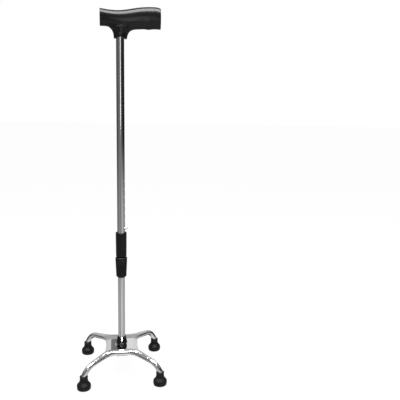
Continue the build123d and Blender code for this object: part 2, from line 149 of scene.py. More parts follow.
# How bright the studio is all round, at seven heights: the sine of the height, then pairs of
# bearing in degrees (0 towards the camera, positive to the right) and brightness. It is what
# the cane reflects, and the camera sees a plain white surround instead.
HIGH_BAND = (
    (-180, 0.20), (-176, 0.22), (-172, 0.85), (-130, 0.60), (-60, 0.30),
    (0, 0.25), (60, 0.25), (130, 0.50), (165, 0.95), (179.5, 0.95),
)
STUDIO = (
    (-0.36, (
        (-180, 0.50), (-118, 0.48), (-70, 0.58), (-33, 0.50), (0, 0.95),
        (33, 0.85), (70, 0.53), (118, 0.60), (180, 0.50),
    )),
    (-0.20, (
        (-180, 0.25), (-118, 0.23), (-70, 0.27), (-33, 0.45), (-8, 0.20),
        (12, 0.50), (33, 0.71), (70, 0.52), (118, 0.24), (180, 0.25),
    )),
    (-0.03, (
        (-180, 0.06), (-118, 0.05), (-70, 0.17), (-33, 0.25), (-10, 0.30),
        (10, 0.25), (33, 0.13), (60, 0.02), (118, 0.01), (180, 0.06),
    )),
    (0.14, (
        (-180, 0.12), (-118, 0.11), (-70, 0.15), (-33, 0.19), (-12, 0.22),
        (8, 0.18), (33, 0.09), (70, 0.02), (118, 0.01), (180, 0.12),
    )),
    (0.34, HIGH_BAND),
    (0.50, HIGH_BAND),
    (0.80, ((-180, 0.50), (180, 0.50))),
)


def brightness_round(tree, bearing, stops):
    """The brightness at a bearing that runs from 0 to 1 once round, from one row of stops."""
    made = tree.nodes.new("ShaderNodeValToRGB")
    tree.links.new(bearing, made.inputs["Fac"])
    marks = made.color_ramp.elements
    while len(marks) < len(stops):
        marks.new(0.5)
    for mark, (degrees, value) in zip(marks, stops):
        mark.position = degrees / 360 + 0.5
        mark.color = grey(value)
    return made.outputs["Color"]


def make_world():
    """A white surround for the camera, and the STUDIO table for light and reflections."""
    world = bpy.data.worlds.new("studio")
    scene.world = world
    world.use_nodes = True
    tree = world.node_tree
    tree.nodes.clear()
    where = tree.nodes.new("ShaderNodeTexCoord").outputs["Generated"]
    axes = node(tree, "ShaderNodeSeparateXYZ", Vector=where)
    ahead = math_node(tree, "MULTIPLY", axes.outputs["Y"], -1.0)
    angle = math_node(tree, "ARCTAN2", axes.outputs["X"], ahead)
    bearing = math_node(tree, "MULTIPLY_ADD", angle, 0.5 / math.pi, 0.5)
    glow = brightness_round(tree, bearing, STUDIO[0][1])
    for (lower, _), (upper, stops) in zip(STUDIO[:-1], STUDIO[1:]):
        height = mapped(tree, axes.outputs["Z"], lower, upper, smooth=True)
        glow = mix_colors(tree, height, glow, brightness_round(tree, bearing, stops))
    light = node(tree, "ShaderNodeBackground", Color=glow, Strength=1.0)
    surround = node(tree, "ShaderNodeBackground", Color=grey(1), Strength=SURROUND)
    path = tree.nodes.new("ShaderNodeLightPath")
    mix = tree.nodes.new("ShaderNodeMixShader")
    tree.links.new(path.outputs["Is Camera Ray"], mix.inputs[0])
    tree.links.new(light.outputs[0], mix.inputs[1])
    tree.links.new(surround.outputs[0], mix.inputs[2])
    out = tree.nodes.new("ShaderNodeOutputWorld")
    tree.links.new(mix.outputs[0], out.inputs["Surface"])


def area_light(name, place, target, size, radiance):
    """A rectangle of light that faces its target, which the camera itself can't see."""
    data = bpy.data.lights.new(name, "AREA")
    data.shape = "RECTANGLE"
    data.size, data.size_y = size
    data.energy = radiance * math.pi * size[0] * size[1]
    light = bpy.data.objects.new(name, data)
    scene.collection.objects.link(light)
    light.location = place
    light.rotation_mode = "QUATERNION"
    light.rotation_quaternion = (Vector(target) - Vector(place)).to_track_quat("-Z", "Y")
    light.visible_camera = False


def make_floor():
    """A white floor that glows by itself, so it is even and takes no shadow worth seeing."""
    mesh = bpy.data.meshes.new("floor")
    corners = [(x * FLOOR_HALF, y * FLOOR_HALF, 0) for x, y in ((-1, -1), (1, -1), (1, 1), (-1, 1))]
    mesh.from_pydata(corners, [], [(0, 1, 2, 3)])
    floor = bpy.data.objects.new("floor", mesh)
    scene.collection.objects.link(floor)
    material = bpy.data.materials.new("floor_white")
    material.use_nodes = True
    shader = material.node_tree.nodes["Principled BSDF"]
    shader.inputs["Base Color"].default_value = grey(FLOOR_WHITE)
    shader.inputs["Roughness"].default_value = FLOOR_ROUGH
    shader.inputs["Specular IOR Level"].default_value = 0.0
    shader.inputs["Emission Color"].default_value = grey(1)
    shader.inputs["Emission Strength"].default_value = FLOOR_GLOW
    mesh.materials.append(material)
    floor.visible_glossy = False


make_world()
make_floor()
area_light("top_softbox", (0.02, -0.98, 2.9), (0.02, -0.98, 0), (4.0, 1.6), 18.0)
area_light("front_strip", (0.105, -2.0, 0.98), (0.105, 0, 0.98), (0.28, 0.8), 3.2)
scene.view_settings.view_transform = "Standard"

# ---- materials -----------------------------------------------------------------------------


def new_material(name):
    material = bpy.data.materials.new(name)
    material.use_nodes = True
    tree = material.node_tree
    shader = tree.nodes["Principled BSDF"]
    return material, tree, shader


def object_coords(tree, stretch=(1, 1, 1)):
    """Object coordinates in metres, scaled along each axis."""
    coords = tree.nodes.new("ShaderNodeTexCoord").outputs["Object"]
    mapping = node(tree, "ShaderNodeMapping", Vector=coords)
    mapping.inputs["Scale"].default_value = stretch
    return mapping.outputs["Vector"]


def noise(tree, coords, scale, detail=4.0, roughness=0.5):
    made = node(tree, "ShaderNodeTexNoise", Vector=coords)
    made.inputs["Scale"].default_value = scale
    made.inputs["Detail"].default_value = detail
    made.inputs["Roughness"].default_value = roughness
    return made.outputs["Fac"]


def bump(tree, shader, height, strength, distance):
    made = node(tree, "ShaderNodeBump", Height=height)
    made.inputs["Strength"].default_value = strength
    made.inputs["Distance"].default_value = distance
    tree.links.new(made.outputs["Normal"], shader.inputs["Normal"])


def plastic(name, shade, rough, grain_scale, grain_depth, gloss):
    """Black moulded plastic: fine grain, faint flow mottling and rubbed patches."""
    material, tree, shader = new_material(name)
    coords = object_coords(tree)
    patches = noise(tree, coords, 28.0, 3.0)
    scuffs = noise(tree, object_coords(tree, (1.0, 0.35, 2.6)), 240.0, 6.0, 0.65)
    color = mix_colors(tree, patches, grey(shade * 0.8), grey(shade * 1.35))
    tree.links.new(color, shader.inputs["Base Color"])
    mottled = mapped(tree, patches, 0.3, 0.7, rough - 0.03, rough + 0.04)
    rubbed = mapped(tree, scuffs, 0.5, 0.8, 0, 0.08)
    tree.links.new(math_node(tree, "ADD", mottled, rubbed), shader.inputs["Roughness"])
    grain = noise(tree, coords, grain_scale, 2.0)
    bump(tree, shader, grain, 0.25, grain_depth)
    shader.inputs["Specular IOR Level"].default_value = gloss
    return material


def rubber(name, shade):
    """Black moulded rubber: fine speckle with dusty bloom."""
    material, tree, shader = new_material(name)
    coords = object_coords(tree)
    bloom = noise(tree, coords, 60.0, 5.0, 0.6)
    dusty = mapped(tree, bloom, 0.35, 0.75)
    color = mix_colors(tree, dusty, grey(shade * 0.8), grey(shade * 1.8))
    tree.links.new(color, shader.inputs["Base Color"])
    tree.links.new(mapped(tree, bloom, 0.3, 0.7, 0.24, 0.36), shader.inputs["Roughness"])
    bump(tree, shader, noise(tree, coords, 1400.0, 3.0), 0.35, 0.00003)
    shader.inputs["Specular IOR Level"].default_value = 0.2
    return material


def metal(name, shade, rough, lines=(1, 1, 0.02), line_depth=0.000006):
    """Metal with cloudy wear and fine polishing lines, which run the way that lines is short."""
    material, tree, shader = new_material(name)
    coords = object_coords(tree)
    clouds = noise(tree, coords, 22.0, 4.0, 0.6)
    polish = noise(tree, object_coords(tree, lines), 1800.0, 3.0, 0.7)
    color = mix_colors(tree, clouds, grey(shade * 0.93), grey(shade * 1.05))
    tree.links.new(color, shader.inputs["Base Color"])
    shader.inputs["Metallic"].default_value = 1.0
    worn = mapped(tree, clouds, 0.3, 0.7, rough - 0.02, rough + 0.03)
    lined = mapped(tree, polish, 0.3, 0.8, -0.02, 0.05)
    tree.links.new(math_node(tree, "ADD", worn, lined), shader.inputs["Roughness"])
    bump(tree, shader, polish, 0.3, line_depth)
    return material


def nylon(name, shade):
    """Off-white moulded nylon with a soft, cloudy sheen."""
    material, tree, shader = new_material(name)
    coords = object_coords(tree)
    clouds = noise(tree, coords, 90.0, 4.0)
    dark = (shade * 0.9, shade * 0.9, shade * 0.84, 1)
    light = (shade, shade, shade * 0.95, 1)
    tree.links.new(mix_colors(tree, clouds, dark, light), shader.inputs["Base Color"])
    tree.links.new(mapped(tree, clouds, 0.3, 0.7, 0.4, 0.55), shader.inputs["Roughness"])
    bump(tree, shader, noise(tree, coords, 700.0), 0.2, 0.0001)
    return material


EVEN = (1, 1, 1)
MATERIALS = {
    "grip_plastic": plastic("grip_plastic", 0.0025, 0.2, 900.0, 0.000008, 0.24),
    "collar_plastic": plastic("collar_plastic", 0.003, 0.3, 1100.0, 0.00002, 0.2),
    "rubber": rubber("black_rubber", 0.0035),
    "tube_metal": metal("tube_metal", 0.60, 0.07),
    "plate_metal": metal("plate_metal", 0.72, 0.045, EVEN, 0.000002),
    "hardware": metal("zinc_hardware", 0.52, 0.30, EVEN),
    "button_metal": metal("button_metal", 0.66, 0.25, (0.05, 1, 1)),
    "spring_metal": metal("spring_metal", 0.34, 0.35, EVEN),
    "weld_metal": metal("weld_metal", 0.42, 0.35, EVEN),
    "nylon": nylon("nylon", 0.72),
}
# The CAD's own pieces that take each material.
NODE_MATERIALS = {
    "grip_plastic": ("handle_grip", "handle_front_cap", "handle_rear_cap"),
    "rubber": ("base_boot", "foot_front_left", "foot_front_right", "foot_back_left", "foot_back_right"),
    "tube_metal": ("upper_tube", "lower_tube"),
    "plate_metal": ("saddle_plate", "front_leg_tube", "rear_leg_tube"),
    "hardware": ("base_bolt", "base_washer", "spring_washer", "foot_washers"),
    "collar_plastic": ("lock_sleeve", "lock_nut", "handle_rivet", "sleeve_screw"),
    "button_metal": ("snap_button",),
    "spring_metal": ("snap_spring",),
    "weld_metal": ("weld_beads",),
    "nylon": ("guide_bush", "tube_foot_plug", "shaft_plug", "lock_ring"),
}

for material_name, nodes in NODE_MATERIALS.items():
    for cad_node in nodes:
        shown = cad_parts[cad_node]
        for slot in shown.material_slots:
            slot.material = MATERIALS[material_name]

# ---- mesh tools ----------------------------------------------------------------------------
# Shapes are worked out in millimetres and scaled to metres when their meshes are made.
MM = 0.001
PULL_ROUNDS = 2
PULL_REACH = 0.02
PULL_LIMIT = 0.6
PULL_LEAST = 0.05
RELAX_SHARE = 0.5
TURNS = 96
EDGE_ANGLE = 35
MERGE = 1e-6
HUGE = 1e9


def mesh_object(name, points, faces, material):
    mesh = bpy.data.meshes.new(name)
    corners = [tuple(point) for point in np.asarray(points) * MM]
    mesh.from_pydata(corners, [], [tuple(int(i) for i in face) for face in faces])
    mesh.validate()
    for polygon in mesh.polygons:
        polygon.use_smooth = True
    mesh.materials.append(MATERIALS[material])
    made = bpy.data.objects.new(name, mesh)
    scene.collection.objects.link(made)
    return made


def tidy_normals(obj, sharp_degrees=None):
    """Faces point outwards, and edges sharper than the angle shade as edges."""
    form = bmesh.new()
    form.from_mesh(obj.data)
    bmesh.ops.recalc_face_normals(form, faces=form.faces)
    if sharp_degrees is not None:
        limit = math.radians(sharp_degrees)
        for edge in form.edges:
            edge.smooth = len(edge.link_faces) != 2 or edge.calc_face_angle(0) <= limit
    form.to_mesh(obj.data)
    form.free()


def surface_net(shape, low, high, step):
    """The surface where shape(points) is 0: a point in each cell that it crosses, and quads."""
    axes = [np.arange(lo, hi + step, step) for lo, hi in zip(low, high)]
    grid = np.stack(np.meshgrid(*axes, indexing="ij"), -1)
    value = shape(grid.reshape(-1, 3)).reshape(grid.shape[:3])
    inside = value < 0
    cells = tuple(n - 1 for n in value.shape)
    total = np.zeros(cells + (3,))
    count = np.zeros(cells)
    faces = []
    crossings = []
    for axis in range(3):
        near = [slice(None)] * 3
        far = [slice(None)] * 3
        near[axis] = slice(0, -1)
        far[axis] = slice(1, None)
        a, b = value[tuple(near)], value[tuple(far)]
        crossed = np.argwhere((a < 0) != (b < 0))
        share = a[tuple(crossed.T)] / (a[tuple(crossed.T)] - b[tuple(crossed.T)])
        point = np.array(low) + crossed * step
        point[:, axis] += share * step
        u, v = [k for k in range(3) if k != axis]
        for du in (0, 1):
            for dv in (0, 1):
                cell = crossed.copy()
                cell[:, u] -= du
                cell[:, v] -= dv
                fits = np.all((cell >= 0) & (cell < np.array(cells)), axis=1)
                np.add.at(total, tuple(cell[fits].T), point[fits])
                np.add.at(count, tuple(cell[fits].T), 1)
        crossings.append((crossed, u, v, inside[tuple(near)][tuple(crossed.T)], axis))
    used = np.argwhere(count > 0)
    index = -np.ones(cells, dtype=int)
    index[tuple(used.T)] = np.arange(len(used))
    points = total[tuple(used.T)] / count[tuple(used.T)][:, None]
    for crossed, u, v, starts_inside, axis in crossings:
        ring = []
        for du, dv in ((0, 0), (1, 0), (1, 1), (0, 1)):
            cell = crossed.copy()
            cell[:, u] -= du
            cell[:, v] -= dv
            fits = np.all((cell >= 0) & (cell < np.array(cells)), axis=1)
            found = np.full(len(cell), -1)
            found[fits] = index[tuple(cell[fits].T)]
            ring.append(found)
        quads = np.stack(ring, 1)
        flip = starts_inside == (axis == 1)
        quads[flip] = quads[flip][:, ::-1]
        faces.append(quads[np.all(quads >= 0, axis=1)])
    return points, np.concatenate(faces)


def pull_onto(points, shape):
    """Moves each point along the slope of shape, to where shape is 0 or nearly so."""
    for _ in range(PULL_ROUNDS):
        value = shape(points)
        slope = np.stack([
            (shape(points + offset) - shape(points - offset)) / (2 * PULL_REACH)
            for offset in np.eye(3) * PULL_REACH
        ], 1)
        steepness = np.maximum((slope**2).sum(1), PULL_LEAST)
        points = points - np.clip(value / steepness, -PULL_LIMIT, PULL_LIMIT)[:, None] * slope
    return points


def relaxed(points, faces):
    """Moves each point part of the way to the middle of the faces round it."""
    total, count = np.zeros_like(points), np.zeros(len(points))
    middles = points[faces].mean(axis=1)
    for corner in faces.T:
        np.add.at(total, corner, middles)
        np.add.at(count, corner, 1)
    middle = total / np.maximum(count, 1)[:, None]
    return points * (1 - RELAX_SHARE) + RELAX_SHARE * middle


def even_net(shape, low, high, step):
    """The surface net of a shape with its points spread evenly and lying on the surface."""
    points, faces = surface_net(shape, low, high, step)
    for _ in range(2):
        points = pull_onto(relaxed(points, faces), shape)
    return points, faces


def smooth_union(first, second, width):
    share = np.maximum(width - np.abs(first - second), 0) / width
    return np.minimum(first, second) - share**2 * width / 4


def smooth_step(value, low, high):
    share = np.clip((value - low) / (high - low), 0, 1)
    return share * share * (3 - 2 * share)


def turned(profile, turns, centre=(0, 0)):
    """Points of (radius, height) turned round the vertical line through centre, in turns steps."""
    points = []
    for k in range(turns):
        angle = 2 * math.pi * k / turns
        across, along = math.cos(angle), math.sin(angle)
        for radius, height in profile:
            points.append((centre[0] + radius * across, centre[1] + radius * along, height))
    return points


def revolved(name, profile, centre, material):
    """A closed profile of (radius, height) turned round the vertical line through centre."""
    points, faces = turned(profile, TURNS, centre), []
    rows = len(profile)
    for k in range(TURNS):
        here, there = k * rows, (k + 1) % TURNS * rows
        for row in range(rows):
            after = (row + 1) % rows
            faces.append((here + row, there + row, there + after, here + after))
    obj = mesh_object(name, points, faces, material)
    form = bmesh.new()
    form.from_mesh(obj.data)
    bmesh.ops.remove_doubles(form, verts=form.verts, dist=MERGE)
    bmesh.ops.dissolve_degenerate(form, edges=form.edges, dist=MERGE)
    form.to_mesh(obj.data)
    form.free()
    tidy_normals(obj, EDGE_ANGLE)
    return obj


def rounded(corners, steps):
    """A closed profile whose corners (radius, height, rounding) are turned into arcs."""
    made = []
    count = len(corners)
    for k, (x, y, size) in enumerate(corners):
        here = Vector((x, y))
        if size == 0:
            made.append(tuple(here))
            continue
        before = Vector(corners[k - 1][:2]) - here
        after = Vector(corners[(k + 1) % count][:2]) - here
        half = before.angle(after) / 2
        reach = min(size / math.tan(half), 0.48 * before.length, 0.48 * after.length)
        start, end = here + before.normalized() * reach, here + after.normalized() * reach
        for step in range(steps + 1):
            t = step / steps
            made.append(tuple((1 - t) ** 2 * start + 2 * t * (1 - t) * here + t * t * end))
    return made


# ---- handle --------------------------------------------------------------------------------
GRIP_FRONT_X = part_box("handle_front_cap")[0].x / MM
GRIP_REAR_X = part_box("handle_rear_cap")[1].x / MM
FRONT_SEAM_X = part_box("handle_grip")[0].x / MM
REAR_SEAM_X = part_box("handle_grip")[1].x / MM
STEM_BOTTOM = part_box("handle_grip")[0].z / MM
TUBE_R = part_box("upper_tube")[1].x / MM
# Places along the grip: X, underside, top, and half the width across.
GRIP = np.array((
    (-50.0, 865.3, 906.2, 13.1),
    (-42.0, 865.2, 905.3, 13.4),
    (-33.0, 865.0, 904.0, 13.8),
    (-20.0, 863.4, 902.9, 14.2),
    (-8.0, 861.6, 902.5, 14.5),
    (4.0, 860.4, 903.4, 14.7),
    (18.0, 859.6, 905.6, 14.8),
    (32.0, 859.6, 908.3, 14.8),
    (48.0, 860.9, 911.2, 14.6),
    (59.0, 861.4, 912.3, 14.4),
    (67.0, 860.5, 912.9, 14.4),
    (77.0, 861.9, 913.3, 14.2),
    (87.0, 862.3, 913.0, 14.0),
    (94.0, 862.0, 911.5, 13.8),
    (100.0, 861.6, 909.2, 13.6),
))
GRIP_CORNERS = 2.15
# The stem under the grip: where its front and rear stand at its bottom, and how far they lean
# out with each millimetre of height; half its depth, and where the depth begins to shrink.
STEM_FRONT, STEM_FRONT_LEAN = -14.3, 0.14
STEM_REAR, STEM_REAR_LEAN = 16.2, 0.21
STEM_DEEP, STEM_DEEP_LEAST = 13.4, 4.0
STEM_TAPER_FROM, STEM_TAPER = 14.0, 0.012
STEM_TOP = 878.0
# How widely the grip and the stem run into each other, below and above the grip's underside.
FILLET, FILLET_TOP = 17.0, 2.0
FILLET_FADE = (860.0, 874.0)
SEAM_GAP = 0.06
CAP_GAP = 0.05
CAP_ROUND = 1.3
FRONT_CAP_MIDDLE = 885.0
REAR_CAP_MIDDLE = 886.5
# The stem's rim: rings (radius, rise) that turn in round the tube, and an arch cut under it.
RIM_RINGS = ((TUBE_R + 0.35, 0.0), (TUBE_R + 0.05, 1.2), (TUBE_R + 0.02, 9.0))
RIM_CUT = 0.02
RIM_RISE = 3.2
RIM_HALF = 13.0
RIM_FADE = 16.0
HANDLE_ANGLE = 40
HANDLE_STEP = 1.4
HANDLE_LOW = (GRIP_FRONT_X - 3, -17.0, STEM_BOTTOM - 3)
HANDLE_HIGH = (GRIP_REAR_X + 3, 17.0, 916.0)
TINY = 1e-3


def along_grip(x, column):
    """A smooth curve through one column of GRIP, by monotone cubic steps."""
    place, value = GRIP[:, 0], GRIP[:, column]
    slope = np.gradient(value, place)
    k = np.clip(np.searchsorted(place, x) - 1, 0, len(place) - 2)
    width = place[k + 1] - place[k]
    t = np.clip((x - place[k]) / width, 0, 1)
    return (
        (2 * t**3 - 3 * t**2 + 1) * value[k]
        + (t**3 - 2 * t**2 + t) * width * slope[k]
        + (-2 * t**3 + 3 * t**2) * value[k + 1]
        + (t**3 - t**2) * width * slope[k + 1]
    )


def grip_shape(p):
    """Below 0 inside the grip, whose section is a rounded oval with flattened sides."""
    low, high, half = (along_grip(p[:, 0], column) for column in (1, 2, 3))
    across, up = np.abs(p[:, 1]), np.abs(p[:, 2] - (low + high) / 2)
    tall = (high - low) / 2
    norm = ((across / half) ** GRIP_CORNERS + (up / tall) ** GRIP_CORNERS) ** (1 / GRIP_CORNERS)
    return np.hypot(across, up) * (1 - 1 / np.maximum(norm, TINY))


def stem_shape(p):
    """Below 0 inside the stem, an oval that leans out towards the top and closes at STEM_TOP."""
    above = p[:, 2] - STEM_BOTTOM
    front = STEM_FRONT - STEM_FRONT_LEAN * above
    rear = STEM_REAR + STEM_REAR_LEAN * above
    shrunk = STEM_DEEP - STEM_TAPER * np.maximum(above - STEM_TAPER_FROM, 0) ** 2
    deep = np.maximum(shrunk, STEM_DEEP_LEAST)
    x = p[:, 0] - (rear + front) / 2
    norm = np.hypot(x / ((rear - front) / 2), p[:, 1] / deep)
    radial = np.hypot(x, p[:, 1]) * (1 - 1 / np.maximum(norm, TINY))
    return np.maximum(radial, p[:, 2] - STEM_TOP)


def handle_shape(p):
    fillet = FILLET - (FILLET - FILLET_TOP) * smooth_step(p[:, 2], *FILLET_FADE)
    return smooth_union(grip_shape(p), stem_shape(p), fillet)


def cut(form, place, normal):
    """Cuts away what lies on the side that the normal points to; gives the cut's open edges."""
    parts = form.verts[:] + form.edges[:] + form.faces[:]
    bmesh.ops.bisect_plane(form, geom=parts, plane_co=place, plane_no=normal, clear_outer=True)
    place, normal = Vector(place), Vector(normal)
    return [
        edge for edge in form.edges
        if edge.is_boundary and all(abs((v.co - place).dot(normal)) < MERGE for v in edge.verts)
    ]


def handle_part(name, low_x, high_x):
    """The stretch of the handle between two planes across it, closed at both."""
    obj = mesh_object(name, HANDLE_POINTS, HANDLE_FACES, "grip_plastic")
    form = bmesh.new()
    form.from_mesh(obj.data)
    for x, way in ((low_x, -1), (high_x, 1)):
        loop = cut(form, (x * MM, 0, 0), (way, 0, 0))
        bmesh.ops.holes_fill(form, edges=loop, sides=0)
    form.to_mesh(obj.data)
    form.free()
    return obj


def round_rim(obj, end_x, side, middle_z):
    """Rounds the rim of a cap by shrinking its section towards the end face."""
    middle = middle_z * MM
    for vertex in obj.data.vertices:
        depth = side * (end_x * MM - vertex.co.x) / MM
        if depth < CAP_ROUND:
            share = 1 - math.sqrt(max(0.0, 1 - (1 - max(depth, 0) / CAP_ROUND) ** 2))
            reach = math.hypot(vertex.co.y, vertex.co.z - middle)
            factor = max(0.0, 1 - share * CAP_ROUND * MM / max(reach, MERGE))
            vertex.co.y *= factor
            vertex.co.z = middle + (vertex.co.z - middle) * factor


def make_handle():
    """The grip with its stem and the socket for the tube, and the two caps."""
    obj = handle_part("grip_body", FRONT_SEAM_X + SEAM_GAP, REAR_SEAM_X - SEAM_GAP)
    form = bmesh.new()
    form.from_mesh(obj.data)
    rim = cut(form, (0, 0, (STEM_BOTTOM + RIM_CUT) * MM), (0, 0, -1))
    for radius, rise in RIM_RINGS:
        made = bmesh.ops.extrude_edge_only(form, edges=rim)["geom"]
        corners = [g for g in made if isinstance(g, bmesh.types.BMVert)]
        rim = [g for g in made if isinstance(g, bmesh.types.BMEdge)]
        for vertex in corners:
            flat = Vector((vertex.co.x, vertex.co.y)).normalized() * radius * MM
            vertex.co.x, vertex.co.y = flat
            vertex.co.z += rise * MM
    bmesh.ops.holes_fill(form, edges=rim, sides=0)
    for vertex in form.verts:
        above = vertex.co.z / MM - STEM_BOTTOM
        x = vertex.co.x / MM
        if above < RIM_FADE and abs(x) < RIM_HALF:
            vertex.co.z += RIM_RISE * (1 - (x / RIM_HALF) ** 2) * (1 - above / RIM_FADE) * MM
    form.to_mesh(obj.data)
    form.free()
    tidy_normals(obj, HANDLE_ANGLE)
    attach(obj, "upper_shaft")
    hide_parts("handle_grip")
    front = handle_part("grip_front_cap", GRIP_FRONT_X + CAP_GAP, FRONT_SEAM_X - SEAM_GAP)
    round_rim(front, GRIP_FRONT_X, -1, FRONT_CAP_MIDDLE)
    rear = handle_part("grip_rear_cap", REAR_SEAM_X + SEAM_GAP, GRIP_REAR_X - CAP_GAP)
    round_rim(rear, GRIP_REAR_X, 1, REAR_CAP_MIDDLE)
    for cap, cad_node in ((front, "handle_front_cap"), (rear, "handle_rear_cap")):
        tidy_normals(cap, HANDLE_ANGLE)
        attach(cap, "upper_shaft")
        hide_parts(cad_node)


HANDLE_POINTS, HANDLE_FACES = even_net(handle_shape, HANDLE_LOW, HANDLE_HIGH, HANDLE_STEP)
make_handle()

# ---- saddle plate --------------------------------------------------------------------------
PLATE_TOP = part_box("lower_tube")[0].z / MM
LEG_R = 6.65
LEG_BEND = Vector((33.0, 46.0, 64.6))
LEG_SHOULDER = Vector((79.5, 97.0, 57.5))
LEG_BEND_R = 35.0
SHEET = 2.0
# Half the plate's width at its waist, front and rear; its width grows over FLARE_Y each way.
WAIST_X, FRONT_X, REAR_X = 40.5, 46.5, 43.0
FLARE_Y, FLARE_POWER = 55.0, 2.2
PLATE_HALF_Y = 52.0
# The top falls away from the middle: a slight crown, and a slope beyond the crease.
CROWN = 0.0009
CREASE_X, CREASE_SLOPE = 28.0, 0.26
BOSS_RISE = 0.3
BOSS_R, BOSS_OUTER_R = 15.0, 16.8
# The covers that the plate forms over the leg tubes, by the distance out along the leg.
COVER_R, COVER_GAP, COVER_BITE = 9.0, 0.35, 1.2
COVER_TAPER = (38.0, 78.0)
COVER_END = 80.0
COVER_FILLET, HOLLOW_FILLET = 7.0, 1.0
LIP_DROP, LIP_LIFT = 3.0, 1.5
LIP_TAPER = (60.0, 80.0)
PLATE_STEP = 0.85
PLATE_LOW, PLATE_HIGH = (-74.0, -100.0, 54.0), (74.0, 100.0, 78.0)
PLATE_ANGLE = 50


def leg_line(side):
    """Points along the right half of a leg tube's centre line, from the middle to its shoulder."""
    bend = Vector((LEG_BEND.x, side * LEG_BEND.y, LEG_BEND.z))
    shoulder = Vector((LEG_SHOULDER.x, side * LEG_SHOULDER.y, LEG_SHOULDER.z))
    before, after = Vector((-1, 0, 0)), (shoulder - bend).normalized()
    half = before.angle(after) / 2
    reach = LEG_BEND_R / math.tan(half)
    centre = bend + (before + after).normalized() * (LEG_BEND_R / math.sin(half))
    start, end = bend + before * reach, bend + after * reach
    points = [Vector((x, bend.y, bend.z)) for x in np.linspace(0, start.x, 6)[:-1]]
    first, last = (start - centre).normalized(), (end - centre).normalized()
    points += [centre + LEG_BEND_R * first.slerp(last, t) for t in np.linspace(0, 1, 12)]
    points += [end.lerp(shoulder, t) for t in np.linspace(0, 0.9, 14)[1:]]
    return np.array([tuple(p) for p in points])


LEG_LINES = {side: leg_line(side) for side in (-1, 1)}


def nearest_on_leg(p, side):
    """Distance to the leg's centre line, how far out along it, and the line's height there."""
    line = LEG_LINES[side]
    q = np.stack([np.abs(p[:, 0]), p[:, 1], p[:, 2]], 1)
    best = np.full(len(q), HUGE)
    along = np.zeros(len(q))
    height = np.zeros(len(q))
    walked = 0.0
    for a, b in zip(line[:-1], line[1:]):
        run = b - a
        length = np.linalg.norm(run)
        t = np.clip((q - a) @ run / length**2, 0, 1)
        distance = np.linalg.norm(q - a - t[:, None] * run, axis=1)
        closer = distance < best
        best = np.where(closer, distance, best)
        along = np.where(closer, walked + t * length, along)
        height = np.where(closer, a[2] + t * run[2], height)
        walked += length
    return best, along, height


def plate_shape(p):
    """Below 0 inside the stamped plate: a sheet with a cover over each leg, cut at the lip."""
    x, y, z = np.abs(p[:, 0]), p[:, 1], p[:, 2]
    widened = np.where(y < 0, FRONT_X - WAIST_X, REAR_X - WAIST_X)
    half_wide = WAIST_X + widened * (np.abs(y) / FLARE_Y) ** FLARE_POWER
    top = PLATE_TOP - CROWN * x**2 - CREASE_SLOPE * np.maximum(x - CREASE_X, 0)
    boss = BOSS_RISE * (1 - smooth_step(np.hypot(x, y), BOSS_R, BOSS_OUTER_R))
    sheet = np.maximum(z - top - boss, x - half_wide)
    sheet = np.maximum(sheet, np.abs(y) - PLATE_HALF_Y)
    outer, hollow, lip = sheet, sheet + SHEET, np.full(len(p), -HUGE)
    near_leg = np.full(len(p), HUGE)
    for side in (-1, 1):
        distance, along, height = nearest_on_leg(p, side)
        cover = COVER_R - (COVER_R - LEG_R - COVER_GAP) * smooth_step(along, *COVER_TAPER)
        over = np.maximum(distance - cover, along - COVER_END)
        outer = smooth_union(outer, over, COVER_FILLET)
        hollow = smooth_union(hollow, distance - LEG_R + COVER_BITE, HOLLOW_FILLET)
        drop = height - LIP_DROP + LIP_LIFT * smooth_step(along, *LIP_TAPER) - z
        lip = np.where(distance < near_leg, drop, lip)
        near_leg = np.minimum(near_leg, distance)
    return np.maximum(np.maximum(outer, -hollow), lip)


def make_plate():
    points, faces = even_net(plate_shape, PLATE_LOW, PLATE_HIGH, PLATE_STEP)
    obj = mesh_object("stamped_saddle", points, faces, "plate_metal")
    tidy_normals(obj, PLATE_ANGLE)
    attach(obj, "base")
    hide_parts("saddle_plate")


make_plate()

# ---- feet and boot -------------------------------------------------------------------------
# Profiles are corners of (radius, height, rounding).
FOOT_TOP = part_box("foot_front_left")[1].z / MM
FIT = 0.02
BOOT_FIT = 0.05
NOTCH_W = 6.2
NOTCH_TIP = 0.4


def make_foot(name, cad_node):
    low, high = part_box(cad_node)
    centre = ((low.x + high.x) / 2 / MM, (low.y + high.y) / 2 / MM)
    wide = (high.x - low.x) / 2 / MM - FIT
    profile = rounded([
        (0, 0.0, 0), (4.0, 0.0, 0), (4.6, 0.7, 0.2), (7.4, 0.7, 0.2), (8.0, 0.0, 0.2), (10.6, 0.0, 4.0),
        (wide - 0.7, 2.6, 3.5), (wide, 9.5, 5.0), (wide - 0.4, 14.0, 3.0), (10.6, 21.6, 5.0),
        (9.75, 27.0, 3.0), (9.6, 33.2, 0.4), (10.0, 33.8, 0.4), (9.9, FOOT_TOP - FIT, 0.9),
        (7.9, FOOT_TOP - FIT, 0.5), (6.75, 29.0, 0.5), (6.7, 13.6, 0), (0, 13.6, 0),
    ], 4)
    obj = revolved(name, profile, centre, "rubber")
    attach(obj, "base")
    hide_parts(cad_node)


for place in ("front_left", "front_right", "back_left", "back_right"):
    make_foot("rubber_foot_" + place, "foot_" + place)


